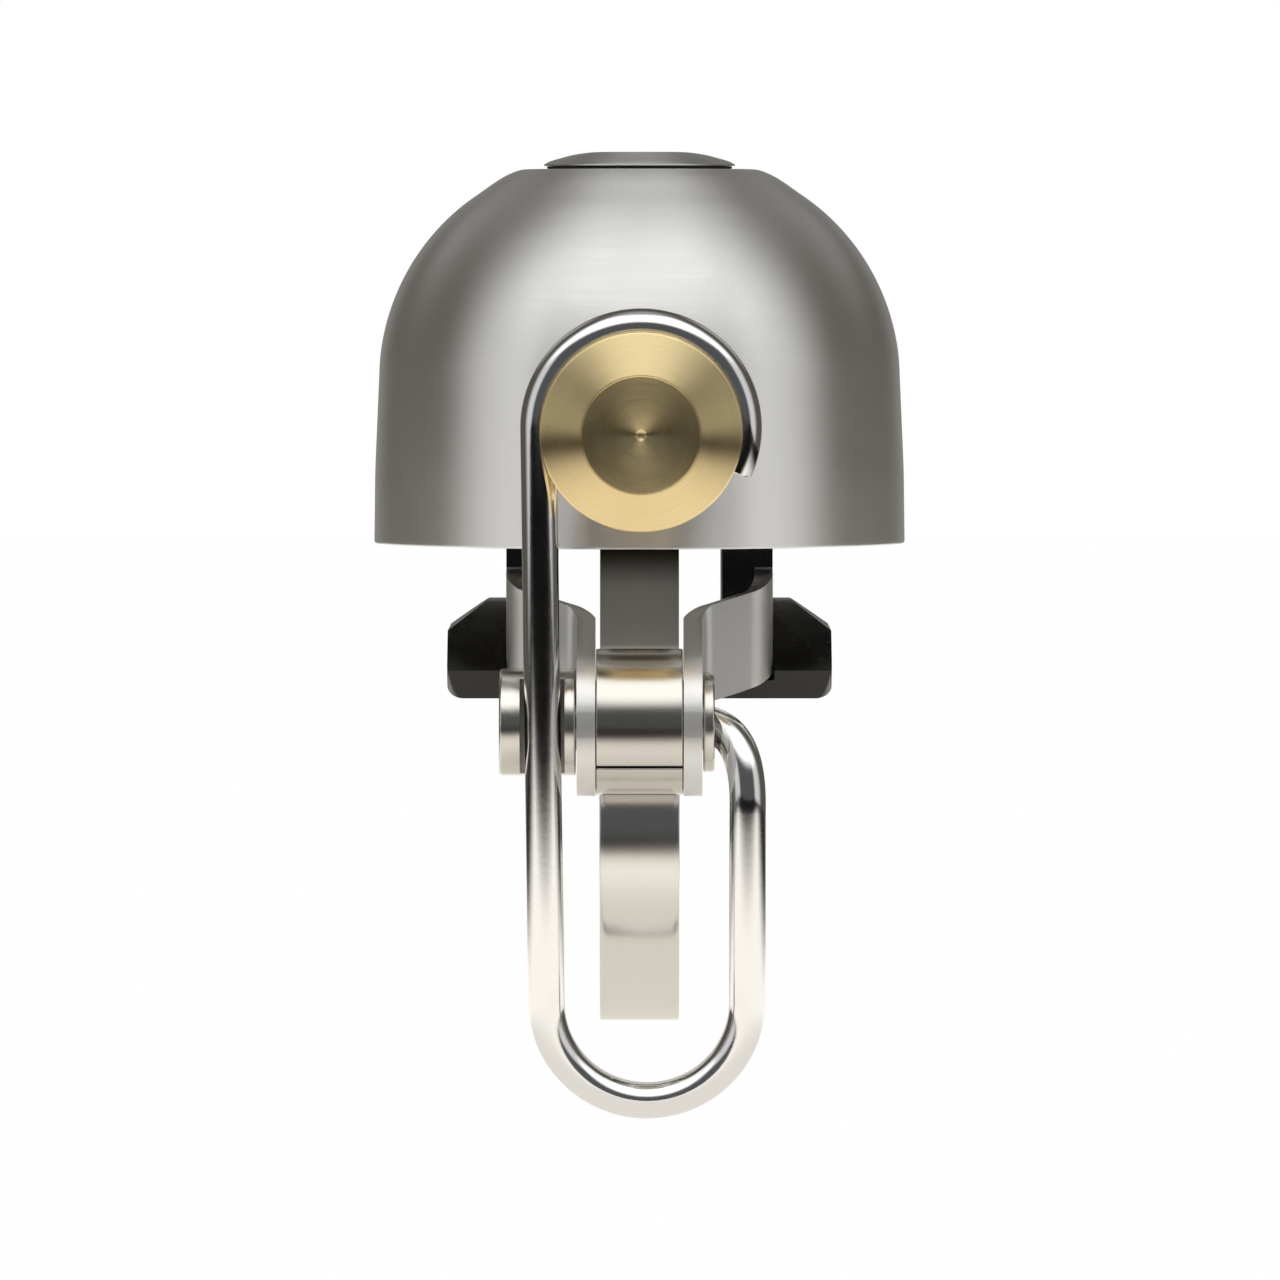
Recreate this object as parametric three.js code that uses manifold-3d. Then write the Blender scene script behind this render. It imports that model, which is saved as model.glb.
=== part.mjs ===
// A striker bell for a 25.4 mm handlebar. Millimetres, +Z up.
// The origin is on the handlebar's axis, at the middle of the clamp band. +X runs along the handlebar, and
// the striker is on the -Y side, in front of the dome.
import * as THREE from "three";
import { mergeVertices } from "three/addons/utils/BufferGeometryUtils.js";
import Module from "manifold-3d";

const wasm = await Module();
wasm.setup();

// ---- Driving dimensions ----

const barRadius = 12.7;
const bandThickness = 0.5;
const bandWidth = 5.2;
const bandEyeWidth = 8;
const sheet = 1.2; // the bracket's steel

const dome = { rimRadius: 17.5, rimZ: 18.33, crownZ: 42.97, crownFlat: 7.9, wall: 1.5, hole: 2.3 };
const domeShoulder = { r: 2.42, z: 29.05, radius: 14.77 }; // the arc from the wall up to the crown
const cap = { radius: 6.3, height: 0.92, land: 0.28, flatRadius: 3.1, stemRadius: 2, stemLength: 9 };
const crownWasher = { radius: 6.1, thickness: 0.16 };
const domeWasher = { radius: 4.4, thickness: 0.55 };
const postRadius = 3.5;

const bracket = { halfWidth: 8.7, frontY: -8.2, rearY: 8, topZ: 23.2, bend: 1.7, bendAngle: 70 };
const earInner = 2.85; // the pivot ears' inner faces, from the centre
const earRadius = 4.79;
const armBendY = -9.5; // where the arms start their bend towards the ears
// The arms' upper and lower edges in [y, z], between the walls and the ears.
const armTop = [[-13.6, 13.7], [-12.5, 14.2], [-10.5, 15.85], [-9.5, 16.5], [-8.2, 16.8]];
const armUnder = [[-8.3, 11.6], [-9.2, 10.5], [-10.5, 9.65], [-11.85, 8.45], [-13.5, 7.4]];
const tab = { y: 13.6, footZ: 10, footEnd: 20.4, width: 5.3 };

const saddle = { inner: 5.4, outer: 12.55, thickness: 2, toe: 48.6, cheek: 2, cheekTop: 21.3 };
const lip = { from: 8.25, to: 8.7, bottom: 16.95 }; // the pads' lips, before and behind the walls' edges
const notchTop = 13; // the arms pass through notches in the pads' front corners, cut up to here
const toeCorner = 1.1; // the rounding of the pads' outer corners
const shoulder = { x: 9.9, drop: 0.733 }; // the pads' sloping top corners: their start and their slope
const rivet = { z: 20, head: 1.4, headHeight: 0.5, shank: 0.85 };

const pivot = { y: -16.9, z: 7.17 }; // the striker's axle, which is also the band's hinge
const lean = 8; // degrees that the striker leans forward at rest
const barrelRadius = 4.73;
const barrelBore = 4.12;
const barrelSplit = -36.5; // degrees from the front, where the rolled barrel's edges meet
const axle = { shank: 1.88, head: 3.46, headX: [-9.06, -7.73], flangeX: [-4.83, -4.13], endX: 4.6 };
const axleBore = 1.35;
const collar = { radius: 3.24, from: 4.13, to: 4.85, countersink: 0.4 };
const bush = { bore: 1.96, journal: 2.7, flange: 4.04, flangeX: 2.25 };
const returnSpring = { wire: 0.3, radius: 2.45, from: -1.75, to: 1.4, turns: 4.5 };

const wireRadius = 1.175;
const wireDepth = 2.77; // how far the wire's plane is in front of the axle's axis
const loop = { x: 0.48, drop: 17.92, radius: 6.5 };
const hook = { x: 0.1, rise: 19.69, radius: 6.585, end: -24 }; // the arc that grips the hammer
const hammer = { flange: 6.51, groove: 1.25, face: 3.86, front: 3.2, back: 3.1, boss: 4.6 };

const trunnion = { y: 17.6, z: 4.6, radius: 2.5, halfLength: 4, hole: 1.4 };
const screw = { shank: 1.25, head: 2.25, headHeight: 2.5, socket: 1.15, tipZ: 13.3 };
const anchorNut = { acrossFlats: 5, height: 2, bore: 1.5 };

const slack = 0.05; // the gap between pieces that bear on each other

// ---- Solids ----

const rad = THREE.MathUtils.degToRad;

// A closed three.js geometry as a solid. Triangles that collapse on a lathe's axis are dropped.
function solidOf(geometry) {
  const bare = geometry.clone();
  bare.deleteAttribute("normal");
  bare.deleteAttribute("uv");
  const merged = mergeVertices(bare, 1e-4);
  const corners = merged.index.array;
  const triangles = [];
  for (let i = 0; i < corners.length; i += 3) {
    const [a, b, c] = corners.slice(i, i + 3);
    if (a !== b && b !== c && c !== a) triangles.push(a, b, c);
  }
  const mesh = new wasm.Mesh({
    numProp: 3,
    vertProperties: merged.attributes.position.array,
    triVerts: new Uint32Array(triangles),
  });
  return new wasm.Manifold(mesh);
}

function geometryOf(solid) {
  const mesh = solid.getMesh();
  const geometry = new THREE.BufferGeometry();
  geometry.setAttribute("position", new THREE.BufferAttribute(mesh.vertProperties, 3));
  geometry.setIndex(new THREE.BufferAttribute(mesh.triVerts, 1));
  geometry.computeVertexNormals();
  return geometry;
}

const join = (first, ...rest) => rest.reduce((solid, next) => solid.add(next), first);
const cut = (first, ...rest) => rest.reduce((solid, next) => solid.subtract(next), first);

// Points [a, b] along an arc from one angle to another, in degrees.
function arc([a, b], radius, from, to, steps) {
  return Array.from({ length: steps + 1 }, (_, i) => {
    const angle = rad(from + ((to - from) * i) / Math.max(steps, 1));
    return [a + radius * Math.cos(angle), b + radius * Math.sin(angle)];
  });
}

// A turned solid. The profile's points are [radius, height], anticlockwise with the axis on the left.
function turned(profile, axis, segments) {
  const points = profile.map(([r, h]) => new THREE.Vector2(r, h));
  const geometry = new THREE.LatheGeometry(points, segments);
  if (axis === "x") geometry.rotateZ(-Math.PI / 2);
  if (axis === "z") geometry.rotateX(Math.PI / 2);
  if (axis === "-y") geometry.rotateX(Math.PI);
  return solidOf(geometry);
}

function rod(axis, radius, from, to, segments = 24) {
  return turned([[0, from], [radius, from], [radius, to], [0, to]], axis, segments);
}

function ring(axis, bore, radius, from, to, segments = 24) {
  return turned([[bore, from], [radius, from], [radius, to], [bore, to], [bore, from]], axis, segments);
}

function box([x0, y0, z0], [x1, y1, z1]) {
  const geometry = new THREE.BoxGeometry(x1 - x0, y1 - y0, z1 - z0);
  return solidOf(geometry.translate((x0 + x1) / 2, (y0 + y1) / 2, (z0 + z1) / 2));
}

const shapeOf = (outline) => new THREE.Shape(outline.map(([a, b]) => new THREE.Vector2(a, b)));

// An outline of [y, z] points drawn out along X.
function alongX(outline, from, to) {
  const geometry = new THREE.ExtrudeGeometry(shapeOf(outline), { depth: to - from, bevelEnabled: false });
  const axes = [new THREE.Vector3(0, 1, 0), new THREE.Vector3(0, 0, 1), new THREE.Vector3(1, 0, 0)];
  geometry.applyMatrix4(new THREE.Matrix4().makeBasis(...axes));
  return solidOf(geometry.translate(from, 0, 0));
}

// An outline of [x, z] points drawn out along Y, from the front to the back.
function alongY(outline, from, to) {
  const geometry = new THREE.ExtrudeGeometry(shapeOf(outline), { depth: to - from, bevelEnabled: false });
  return solidOf(geometry.rotateX(Math.PI / 2).translate(0, to, 0));
}

// An outline of [x, y] points drawn out along Z.
function alongZ(outline, from, to) {
  const geometry = new THREE.ExtrudeGeometry(shapeOf(outline), { depth: to - from, bevelEnabled: false });
  return solidOf(geometry.translate(0, 0, from));
}

// The outline of a bent strip that runs straight between its bends. Each bend is an arc of the strip's
// middle line. A plain end is a point with the angle that its left-hand side faces.
const plainEnd = (at, facing) => ({ at, radius: 0, from: facing, to: facing, steps: 0 });

function strip(bends, thickness) {
  const side = (sign) =>
    bends.flatMap(({ at, radius, from, to, steps }) => {
      const turn = to > from ? -1 : 1; // an anticlockwise arc has its centre on the left
      return arc(at, radius + (sign * turn * thickness) / 2, from, to, steps);
    });
  return [...side(-1), ...side(1).reverse()];
}

// The tube of a round wire along a smooth curve through the points.
function wireAlong(points, radius, steps, sides) {
  const path = new THREE.CatmullRomCurve3(points, false, "centripetal");
  path.arcLengthDivisions = steps * 8;
  const section = shapeOf(arc([0, 0], radius, 0, 360 - 360 / sides, sides - 1));
  return solidOf(new THREE.ExtrudeGeometry(section, { steps, extrudePath: path, bevelEnabled: false }));
}

// ---- Materials ----

function material(color, roughness, metalness) {
  return new THREE.MeshStandardMaterial({ color, roughness, metalness });
}

const materials = {
  brushedSteel: () => material(0x9a9a98, 0.35, 1),
  polishedSteel: () => material(0xc9c7c2, 0.18, 1),
  springSteel: () => material(0x8f8f90, 0.2, 1),
  brass: () => material(0xc9a75c, 0.3, 1),
  bronze: () => material(0x9c7240, 0.45, 1),
  blackNylon: () => material(0x121212, 0.55, 0),
  rubber: () => material(0x1a1a1a, 0.85, 0),
};

function piece(name, solid, finish, parent) {
  const mesh = new THREE.Mesh(geometryOf(solid), finish());
  mesh.name = name;
  parent.add(mesh);
}

// ---- Dome and what holds it ----

// The dome's outer profile from the rim up to the crown's flat, set in by a given thickness.
function domeProfile(inset, steps) {
  const { r, z, radius } = domeShoulder;
  const shoulderArc = arc([r, z], radius - inset, 4, 58, steps);
  const crownZ = dome.crownZ - inset;
  return [[dome.rimRadius - inset, dome.rimZ + 0.35], ...shoulderArc,
    [dome.crownFlat + 0.7 - inset / 2, crownZ - 0.3], [dome.crownFlat - inset / 2, crownZ]];
}

function makeDome() {
  const outside = domeProfile(0, 9);
  const inside = domeProfile(dome.wall, 6).reverse();
  const rim = arc([dome.rimRadius - dome.wall / 2, dome.rimZ + 0.35], dome.wall / 2, 180, 360, 4)
    .map(([r, z]) => [r, Math.max(z, dome.rimZ)]);
  const hole = [[dome.hole, dome.crownZ], [dome.hole, dome.crownZ - dome.wall]];
  const profile = [...rim.slice(1, -1), ...outside, ...hole, ...inside];
  return turned([...profile, profile[0]], "z", 56);
}

// The cap is a low bevelled button whose threaded stem passes down through the crown into the post.
function makeCap(baseZ) {
  const top = baseZ + cap.height;
  const bevel = [[cap.radius - 0.05, baseZ + cap.land], [cap.radius * 0.86, baseZ + cap.height * 0.66],
    [cap.radius * 0.68, baseZ + cap.height * 0.92], [cap.flatRadius, top]];
  const stemEnd = baseZ - cap.stemLength;
  const stem = [[0, stemEnd], [cap.stemRadius, stemEnd], [cap.stemRadius, baseZ]];
  return turned([...stem, [cap.radius, baseZ], ...bevel, [0, top]], "z", 32);
}

function buildCrown(parent) {
  const outsideZ = dome.crownZ + slack / 2;
  const outsideTop = outsideZ + crownWasher.thickness;
  const capZ = outsideTop + slack / 2;
  const insideZ = dome.crownZ - dome.wall - slack;
  const washerZ = insideZ - domeWasher.thickness;
  const postTop = washerZ - slack;
  const plateTop = bracket.topZ + slack;
  const plateBottom = bracket.topZ - sheet - slack;
  const screwRadius = 1.5;
  const stemBore = cap.stemRadius + 0.1;
  const screwBore = screwRadius + 0.1;
  const postMiddle = plateTop + 7;
  const postBore = [[screwBore, plateTop], [postRadius, plateTop], [postRadius, postTop],
    [stemBore, postTop], [stemBore, postMiddle + 1], [screwBore, postMiddle], [screwBore, plateTop]];

  piece("dome", makeDome(), materials.brushedSteel, parent);
  piece("crown_cap", makeCap(capZ), materials.polishedSteel, parent);
  const outerRing = ring("z", stemBore, crownWasher.radius, outsideZ, outsideTop, 32);
  piece("crown_washer", outerRing, materials.rubber, parent);
  const innerRing = ring("z", stemBore, domeWasher.radius, washerZ, insideZ);
  piece("dome_washer", innerRing, materials.blackNylon, parent);
  piece("dome_post", turned(postBore, "z", 24), materials.brass, parent);

  const lockWasher = ring("z", screwBore, 2.9, plateBottom - 0.5, plateBottom);
  const split = box([0, -0.2, plateBottom - 1], [3.5, 0.2, plateBottom + 1]);
  piece("lock_washer", cut(lockWasher, split), materials.springSteel, parent);

  const headTop = plateBottom - 0.5 - slack;
  const shank = rod("z", screwRadius, headTop - 1, postMiddle - 0.5);
  const driveSlot = box([-0.35, -3, headTop - 2], [0.35, 3, headTop - 1.1]);
  const headProfile = [[0, headTop - 1.8], [2.1, headTop - 1.8], [2.75, headTop - 1.2], [2.75, headTop],
    [0, headTop]];
  const head = turned(headProfile, "z", 24);
  piece("post_screw", cut(join(head, shank), driveSlot), materials.polishedSteel, parent);
}

// ---- Bracket ----

// One arm in plan, from the wall's rear edge forward, through its double bend, to the front of the ear.
function armPlan() {
  const wallX = bracket.halfWidth - sheet / 2;
  const earX = earInner + sheet / 2;
  const { bend, bendAngle } = bracket;
  const diagonal = (wallX - earX - 2 * bend * (1 - Math.cos(rad(bendAngle)))) / Math.sin(rad(bendAngle));
  const length = 2 * bend * Math.sin(rad(bendAngle)) + diagonal * Math.cos(rad(bendAngle));
  const earY = armBendY - length;
  return strip([plainEnd([wallX, bracket.rearY], 0),
    { at: [wallX - bend, armBendY], radius: bend, from: 0, to: -bendAngle, steps: 5 },
    { at: [earX + bend, earY], radius: bend, from: 180 - bendAngle, to: 180, steps: 5 },
    plainEnd([earX, pivot.y - earRadius - 1], 0)], sheet);
}

// The bracket's edge seen from the side: the ear round the axle, the arm's sloping top edge, the wall, and
// the underside, which follows the pad as far as the wall's front edge and then drops in front of it.
function bracketSide() {
  const { frontY, rearY, topZ } = bracket;
  const seat = barRadius + saddle.thickness + 0.3;
  const ear = arc([pivot.y, pivot.z], earRadius, -45, -246, 20);
  const angleAt = (y) => Math.acos(y / seat) / rad(1);
  const underWall = arc([0, 0], seat, angleAt(rearY), angleAt(frontY), 14);
  return [...ear, ...armTop, [frontY, topZ + 1], [rearY, topZ + 1], ...underWall, ...armUnder];
}

function makeBracket() {
  const { halfWidth, frontY, rearY, topZ } = bracket;
  const outerBend = 1.8;
  const innerBend = outerBend - sheet;
  const cornerX = halfWidth - outerBend;
  const cornerZ = topZ - outerBend;
  const underside = topZ - 20;
  const bends = (radius) => [...arc([cornerX, cornerZ], radius, 0, 90, 5),
    ...arc([-cornerX, cornerZ], radius, 90, 180, 5)];
  const channel = alongY([[halfWidth, underside], ...bends(outerBend), [-halfWidth, underside],
    [-halfWidth + sheet, underside], ...bends(innerBend).reverse(), [halfWidth - sheet, underside]],
    frontY, rearY);

  const right = alongZ(armPlan(), 0, 18);
  const left = right.mirror([1, 0, 0]);
  const side = alongX(bracketSide(), -halfWidth - 1, halfWidth + 1);
  const channelAndArms = join(channel, right, left).intersect(side);

  const radius = sheet;
  const plateZ = topZ - sheet / 2;
  const rearTab = alongX(strip([plainEnd([rearY - 1, plateZ], 90),
    { at: [tab.y - radius, plateZ - radius], radius, from: 90, to: 0, steps: 5 },
    { at: [tab.y + radius, tab.footZ + radius], radius, from: 180, to: 270, steps: 5 },
    plainEnd([tab.footEnd, tab.footZ], 90)], sheet), -tab.width / 2, tab.width / 2);

  const reach = halfWidth + 1;
  const screwHole = rod("z", 1.75, topZ - 3, topZ + 1);
  const footHole = rod("z", 1.5, tab.footZ - 2, tab.footZ + 2, 16).translate([0, trunnion.y, 0]);
  const earHoles = rod("x", bush.journal + slack, -reach, reach).translate([0, pivot.y, pivot.z]);
  const rivetHoles = rod("x", rivet.shank + slack, -reach, reach, 12).translate([0, 0, rivet.z]);
  return cut(join(channelAndArms, rearTab), screwHole, footHole, earHoles, rivetHoles);
}

// ---- Saddle pads, one under each wall of the bracket ----

function makeSaddleHalf() {
  const { inner, outer, thickness, toe, cheek, cheekTop } = saddle;
  const facets = 13;
  const step = (2 * toe) / facets;
  const seatRadius = barRadius / Math.cos(rad(step / 2)); // the facets touch the bar at their middles
  const outside = arc([0, 0], barRadius + thickness, 90 - toe + 2.8, 90 + toe - 2.8, facets);
  const inside = arc([0, 0], seatRadius, 90 + toe, 90 - toe, facets);
  const wing = alongX([...outside, ...inside], inner, outer);
  const upright = box([inner, -lip.to, barRadius - thickness], [inner + cheek, lip.to, cheekTop]);
  const underCheek = rod("x", barRadius + thickness / 2, inner - 1, outer, 40);
  const frontLip = box([inner, -lip.to, lip.bottom], [bracket.halfWidth, -lip.from, cheekTop]);
  const rearLip = box([inner, lip.from, lip.bottom], [bracket.halfWidth, lip.to, cheekTop]);
  const body = join(wing, cut(upright, underCheek), frontLip, rearLip);
  const gap = 0.15;
  const notchRear = bracket.frontY + 0.1;
  const notchFloor = armUnder.slice(1).map(([y, z]) => [y + gap, z - gap]);
  const notchSide = [[notchRear, notchTop], [notchRear, armUnder[0][1] - gap], ...notchFloor,
    [-15, 7], [-15, notchTop]];
  const notch = alongX(notchSide, inner - 1, bracket.halfWidth + 0.1);

  const slopeTop = barRadius + thickness + 1;
  const farX = outer + 1;
  const slope = (x) => barRadius + thickness - (x - shoulder.x) * shoulder.drop;
  const corner = alongY([[shoulder.x, slope(shoulder.x)], [farX, slope(farX)], [farX, slopeTop],
    [shoulder.x, slopeTop]], -15, 15);
  const hole = rod("x", rivet.shank + slack, inner - 1, inner + cheek + 1, 12).translate([0, 0, rivet.z]);
  // Each toe's outer corner is rounded about the direction that runs out from the bar at the toe.
  const rounding = arc([outer - toeCorner, toeCorner], toeCorner, -90, 0, 4);
  const frontPlan = alongZ([[0, -0.01], ...rounding, [outer, 40], [0, 40]], -30, 30).rotate([toe, 0, 0]);
  const rearPlan = frontPlan.mirror([0, 1, 0]);
  return cut(body, notch, corner, hole).intersect(frontPlan).intersect(rearPlan);
}

function makeRivet() {
  const outerFace = bracket.halfWidth + slack;
  const innerFace = saddle.inner - slack;
  const { head, headHeight, shank } = rivet;
  const edge = 0.15;
  const innerHead = [[0, innerFace - headHeight], [shank + 0.3, innerFace - headHeight],
    [head, innerFace - edge], [head, innerFace]];
  const outerHead = [[head, outerFace], [head, outerFace + edge],
    [shank + 0.3, outerFace + headHeight], [0, outerFace + headHeight]];
  const profile = [...innerHead, [shank, innerFace], [shank, outerFace], ...outerHead];
  return turned(profile, "x", 12).translate([0, 0, rivet.z]);
}

function buildBracket(parent) {
  piece("bracket", makeBracket(), materials.brushedSteel, parent);
  const pad = makeSaddleHalf();
  const padRivet = makeRivet();
  for (const [side, flip] of [["right", false], ["left", true]]) {
    const sided = (solid) => (flip ? solid.mirror([1, 0, 0]) : solid);
    piece("saddle_" + side, sided(pad), materials.blackNylon, parent);
    piece("pad_rivet_" + side, sided(padRivet), materials.polishedSteel, parent);
  }
}

// ---- Clamp: the barrel on the striker's axle, the band round the bar and the eye for the trunnion ----

function makeBand() {
  const ringRadius = barRadius + bandThickness / 2 + slack / 2;
  const frontRadius = barrelRadius + slack + bandThickness / 2;
  const eyeRadius = trunnion.radius + slack + bandThickness / 2;
  // The straight runs cross from the ring to the barrel and to the eye, so each touches both circles.
  const crossing = (y, z, radius) => Math.acos((ringRadius + radius) / Math.hypot(y, z)) / rad(1);
  const towards = (y, z) => Math.atan2(z, y) / rad(1);
  const front = towards(pivot.y, pivot.z) + crossing(pivot.y, pivot.z, frontRadius);
  const rear = towards(trunnion.y, trunnion.z) - crossing(trunnion.y, trunnion.z, eyeRadius) + 360;
  const onBarrel = { at: [pivot.y, pivot.z], radius: frontRadius, from: 52, to: front - 180, steps: 7 };
  const round = { at: [0, 0], radius: ringRadius, from: front, to: rear, steps: 30 };
  const eyeFrom = rear - 180;
  const eyeTo = eyeFrom - 300;
  const eye = { at: [trunnion.y, trunnion.z], radius: eyeRadius, from: eyeFrom, to: eyeTo, steps: 22 };

  const narrow = alongX(strip([onBarrel, round, eye], bandThickness), -bandWidth / 2, bandWidth / 2);
  const wide = alongX(strip([{ ...round, from: rear - 4, steps: 1 }, eye], bandThickness),
    -bandEyeWidth / 2, bandEyeWidth / 2);
  const neck = box([-bandEyeWidth, 0, -10], [bandEyeWidth, 30, 1.9]).subtract(
    box([-bandWidth / 2, 0, -10], [bandWidth / 2, 30, 2]));
  const eyeBelow = box([-2.5, trunnion.y - 2.7, trunnion.z - 5], [2.5, trunnion.y + 2.7, trunnion.z]);
  const eyeAbove = box([-1.6, trunnion.y - 1.8, trunnion.z], [1.6, trunnion.y + 1.8, trunnion.z + 5]);
  const eyeBack = box([-bandEyeWidth, trunnion.y - eyeRadius, -10], [bandEyeWidth, 30, 2.1]);
  return cut(join(narrow, cut(wide, neck.subtract(eyeBack))), eyeBelow, eyeAbove);
}

function makeBarrel() {
  const tube = ring("x", barrelBore, barrelRadius, -earInner + slack, earInner - slack, 40);
  const slit = box([-4, -barrelRadius - 1, -0.09], [4, -barrelBore + 0.5, 0.09]);
  return cut(tube, slit.rotate([-barrelSplit, 0, 0]));
}

function buildClamp(parent) {
  piece("clamp_band", makeBand(), materials.polishedSteel, parent);

  const front = new THREE.Group();
  front.position.set(0, pivot.y, pivot.z);
  parent.add(front);
  piece("clamp_barrel", makeBarrel(), materials.polishedSteel, front);

  const rear = new THREE.Group();
  rear.position.set(0, trunnion.y, trunnion.z);
  parent.add(rear);
  const seatZ = -trunnion.radius + 0.2;
  const { halfLength, radius, hole } = trunnion;
  const spotFace = box([-2.5, -radius, -radius - 1], [2.5, radius, seatZ]);
  piece("trunnion", cut(rod("x", radius, -halfLength, halfLength), rod("z", hole, -4, 4, 16), spotFace),
    materials.brass, rear);

  const headTop = seatZ - slack;
  const headBottom = headTop - screw.headHeight;
  const tip = screw.tipZ - trunnion.z;
  const head = turned([[0, headBottom], [screw.head - 0.2, headBottom],
    [screw.head, headBottom + 0.2], [screw.head, headTop], [screw.shank, headTop],
    [screw.shank, tip - 0.4], [screw.shank - 0.4, tip], [0, tip]], "z", 24);
  const socket = rod("z", screw.socket, headBottom - 1, headBottom + 1.3, 6);
  piece("tension_screw", cut(head, socket), materials.springSteel, rear);

  const nutZ = tab.footZ + sheet / 2 + slack - trunnion.z;
  const corner = anchorNut.acrossFlats / 2 / Math.cos(rad(30));
  const nut = rod("z", corner, nutZ, nutZ + anchorNut.height, 6);
  const nutBore = rod("z", anchorNut.bore, nutZ - 1, nutZ + 4, 16);
  piece("anchor_nut", cut(nut, nutBore), materials.polishedSteel, rear);
}

// ---- Pivot: bushes and the return spring round the axle ----

// The flange has a slot in which the spring's fixed leg has room to lie at every angle of the striker.
function makeBush(slotted) {
  const { bore, journal, flange, flangeX } = bush;
  const flangeEnd = earInner - slack;
  const journalEnd = earInner + sheet;
  const body = turned([[bore, flangeX], [flange, flangeX], [flange, flangeEnd], [journal, flangeEnd],
    [journal, journalEnd], [bore, journalEnd], [bore, flangeX]], "x", 24);
  return slotted ? cut(body, box([flangeX - 1, -1.1, 0], [flangeEnd, 1.1, flange + 1])) : body;
}

// A coil round the axle. One end turns in to the axle's cross hole, and the other runs on along X.
function makeReturnSpring() {
  const { wire, radius, from, to, turns } = returnSpring;
  const perTurn = 16;
  const coil = Array.from({ length: turns * perTurn + 1 }, (_, i) => {
    const angle = (i / perTurn) * 2 * Math.PI - Math.PI / 2;
    const x = from + ((to - from) * i) / (turns * perTurn);
    return new THREE.Vector3(x, radius * Math.cos(angle), radius * Math.sin(angle));
  });
  const axleEnd = [[-0.1, -1], [-0.06, -1.7], [0.3, -2.27]].map(([y, z]) => new THREE.Vector3(from, y, z));
  const [legY, legZ] = arc([0, 0], radius, 75, 75, 0)[0];
  const leg = [to + 0.8, 2.7].map((x) => new THREE.Vector3(x, legY, legZ));
  return wireAlong([...axleEnd, ...coil.slice(1, -1), ...leg], wire, 84, 6);
}

function buildPivot(parent) {
  const group = new THREE.Group();
  group.position.set(0, pivot.y, pivot.z);
  parent.add(group);
  piece("bush_right", makeBush(true), materials.bronze, group);
  piece("bush_left", makeBush(false).mirror([1, 0, 0]), materials.bronze, group);
}

// ---- Striker: the axle, the sprung wire and the hammer, which turn together ----

// The axle's wide left end has a cross slot that the wire lies in. Its right end is bored for the wire.
function makeAxle() {
  const [headFrom, headTo] = axle.headX;
  const [flangeFrom, flangeTo] = axle.flangeX;
  const { head, shank, endX } = axle;
  const body = turned([[0, headFrom], [head - 0.15, headFrom], [head, headFrom + 0.15], [head, flangeTo],
    [shank, flangeTo], [shank, endX], [0, endX]], "x", 32);
  const slotFloor = wireDepth - wireRadius - slack;
  const slot = box([headTo, -head - 1, -head - 1], [flangeFrom, -slotFloor, head + 1]);
  const bore = turned([[0, -0.7], [axleBore, -0.7], [axleBore, endX - 0.6], [1.74, endX + 0.01],
    [0, endX + 0.01]], "x", 16);
  const springHole = rod("z", 0.5, -2.5, -0.7, 12).translate([returnSpring.from, 0, 0]);
  return cut(body, slot, bore, springHole);
}

// The collar is pressed on the axle's right end. Its countersink clears the wire's bend.
function makeCollar() {
  const { radius, from, to, countersink } = collar;
  const bore = axle.shank + slack;
  const profile = [[bore, from], [radius, from], [radius, to], [bore + countersink, to],
    [bore, to - countersink], [bore, from]];
  return turned(profile, "x", 32);
}

// The wire comes out of the axle's right end, swings forward and down into the finger loop, runs up
// through the axle's slot, and hooks over the hammer.
function makeStrikerWire() {
  const at = ([x, z]) => new THREE.Vector3(x, -wireDepth, z);
  const line = ([x0, z0], [x1, z1], count) =>
    Array.from({ length: count }, (_, i) => [x0 + ((x1 - x0) * (i + 1)) / (count + 1),
      z0 + ((z1 - z0) * (i + 1)) / (count + 1)]);
  const rightX = loop.x + loop.radius;
  const legTop = [rightX, -5.4];
  const exit = new THREE.CubicBezierCurve3(
    new THREE.Vector3(3.6, 0, 0), new THREE.Vector3(6, -0.2, -0.15),
    new THREE.Vector3(rightX + 0.1, -wireDepth, -1.3), at(legTop));
  const bottom = arc([loop.x, -loop.drop], loop.radius, 0, -180, 14);
  const top = arc([hook.x, hook.rise], hook.radius, 180, hook.end, 20);
  const flat = [...line(legTop, bottom[0], 5), ...bottom, ...line(bottom.at(-1), top[0], 14), ...top];
  const inAxle = [-0.4, 1, 2.5].map((x) => new THREE.Vector3(x, 0, 0));
  return wireAlong([...inAxle, ...exit.getPoints(7), ...flat.map(at)], wireRadius, 92, 8);
}

// The hammer's axis runs from front to back. Heights are in front of the groove that the wire lies in.
function makeHammer() {
  const { flange, groove, face, front, back, boss } = hammer;
  const mouth = Math.asin((hook.radius - flange) / groove) / rad(1);
  const grooveArc = arc([hook.radius, 0], groove, -90 - mouth, -270 + mouth, 6);
  return turned([[0, -back], [boss * 0.5, -back + 0.04], [boss - 0.3, -back + 0.16], [boss, -back + 0.45],
    [boss + 0.3, -back + 0.52], [flange - 0.5, -back + 0.65], [flange, -2], ...grooveArc, [flange, 2],
    [flange - 0.12, 2.12], [face, front], [0, front]], "-y", 40);
}

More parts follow.
